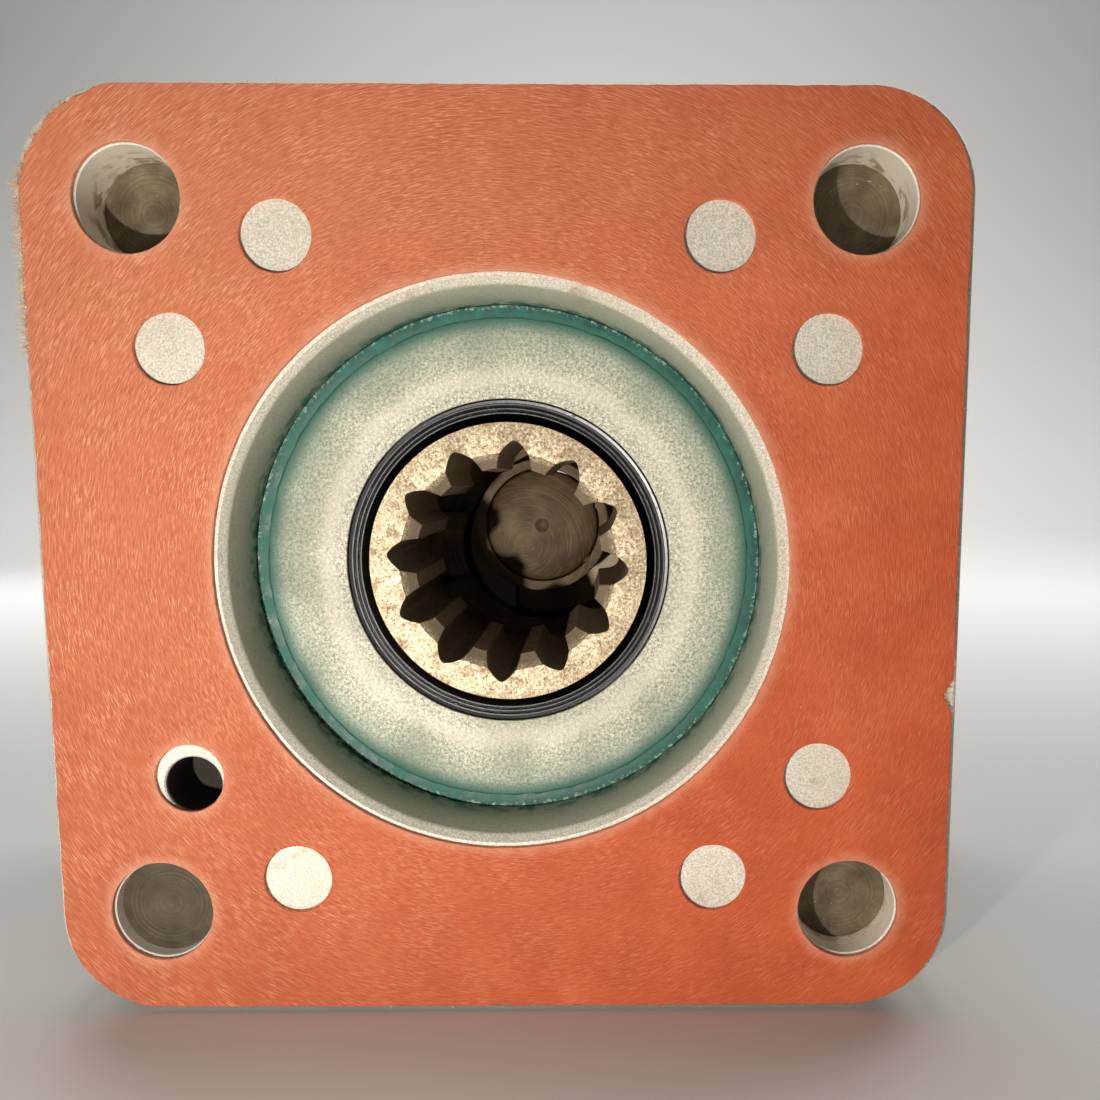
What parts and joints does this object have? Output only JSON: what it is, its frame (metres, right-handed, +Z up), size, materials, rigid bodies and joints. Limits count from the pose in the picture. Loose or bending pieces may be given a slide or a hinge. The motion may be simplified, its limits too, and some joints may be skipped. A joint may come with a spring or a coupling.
{
  "type": "flange-mounted oldham coupling",
  "caption": "Square-flanged housing with a sealed, internally splined driving hub, a floating cross-tongued disc and a driven hub, shown with its shafts 2.5 mm out of line.",
  "frame": {"origin": "centre of the base, on the lower edges of the two square flanges, halfway along the coupling's axis", "axes": "+Z up, +Y along the coupling's axis from the gasketed driving end to the driven end, +X to the right when looking at the driving end"},
  "size_m": [0.0696, 0.0528, 0.0696],
  "materials": {
    "cast_aluminium": "machined and bead-blasted, satin",
    "gasket_fibre": "matt compressed orange fibre sheet",
    "plated_steel": "satin plated",
    "green_sealant": "thin satin lacquer",
    "black_rubber": "matt",
    "spring_steel": "oiled",
    "bearing_steel": "ground",
    "brass": "satin",
    "black_steel": "black oxide, oiled",
    "tan_steel": "heat-tinted, fine-grained and oily",
    "brown_steel": "dull and oily",
    "copper": "satin"
  },
  "bodies": {
    "housing": {"front_housing": "cast_aluminium", "flange_gasket": "gasket_fibre", "seal_case": "plated_steel", "seal_inner_case": "plated_steel", "seal_sealant_band": "green_sealant", "seal_lip": "black_rubber", "garter_spring": "spring_steel", "front_bearing_outer_race": "bearing_steel", "rear_bearing_outer_race": "bearing_steel", "outer_spacer": "black_steel", "housing_retaining_ring": "spring_steel", "body_gasket": "gasket_fibre", "rear_housing": "cast_aluminium", "tie_bolt_top_left": "black_steel", "tie_bolt_top_right": "black_steel", "tie_bolt_bottom_left": "black_steel", "tie_bolt_bottom_right": "black_steel", "bolt_washer_top_left": "spring_steel", "bolt_washer_top_right": "spring_steel", "bolt_washer_bottom_left": "spring_steel", "bolt_washer_bottom_right": "spring_steel", "dowel_pin_left": "bearing_steel", "dowel_pin_right": "bearing_steel", "grease_plug": "brass", "plug_washer": "copper"},
    "input_hub": {"input_hub": "tan_steel", "front_bearing_inner_race": "bearing_steel", "rear_bearing_inner_race": "bearing_steel", "inner_spacer": "black_steel", "hub_retaining_ring": "spring_steel"},
    "center_disc": {"oldham_disc": "brown_steel"},
    "driven_side": {"driven_hub": "tan_steel", "driven_shaft": "brown_steel", "shaft_collar": "brown_steel", "shaft_key": "black_steel", "hub_set_screw": "black_steel"},
    "front_ball_set": {"front_bearing_cage": "brass", "front_bearing_ball_1": "bearing_steel", "front_bearing_ball_2": "bearing_steel", "front_bearing_ball_3": "bearing_steel", "front_bearing_ball_4": "bearing_steel", "front_bearing_ball_5": "bearing_steel", "front_bearing_ball_6": "bearing_steel", "front_bearing_ball_7": "bearing_steel", "front_bearing_ball_8": "bearing_steel"},
    "rear_ball_set": {"rear_bearing_cage": "brass", "rear_bearing_ball_1": "bearing_steel", "rear_bearing_ball_2": "bearing_steel", "rear_bearing_ball_3": "bearing_steel", "rear_bearing_ball_4": "bearing_steel", "rear_bearing_ball_5": "bearing_steel", "rear_bearing_ball_6": "bearing_steel", "rear_bearing_ball_7": "bearing_steel", "rear_bearing_ball_8": "bearing_steel"}
  },
  "joints": [
    {"name": "hub_spin", "type": "hinge", "parent": "housing", "child": "input_hub", "pos_m": [0, 0, 0.03479], "axis": [0, 1, 0], "continuous": true},
    {"name": "disc_slide", "type": "slide", "parent": "input_hub", "child": "center_disc", "axis": [1, 0, 0], "range_m": [-0.00364, 0.00047]},
    {"name": "driven_slide", "type": "slide", "parent": "center_disc", "child": "driven_side", "axis": [0, 0, 1], "range_m": [-0.00402, 0.00009]},
    {"name": "front_balls_spin", "type": "hinge", "parent": "housing", "child": "front_ball_set", "pos_m": [0, 0, 0.03479], "axis": [0, 1, 0], "continuous": true},
    {"name": "rear_balls_spin", "type": "hinge", "parent": "housing", "child": "rear_ball_set", "pos_m": [0, 0, 0.03479], "axis": [0, 1, 0], "continuous": true}
  ],
  "couplings": [
    {"joint": "front_balls_spin", "follows": "hub_spin", "ratio": 0.4354},
    {"joint": "rear_balls_spin", "follows": "hub_spin", "ratio": 0.4354}
  ]
}
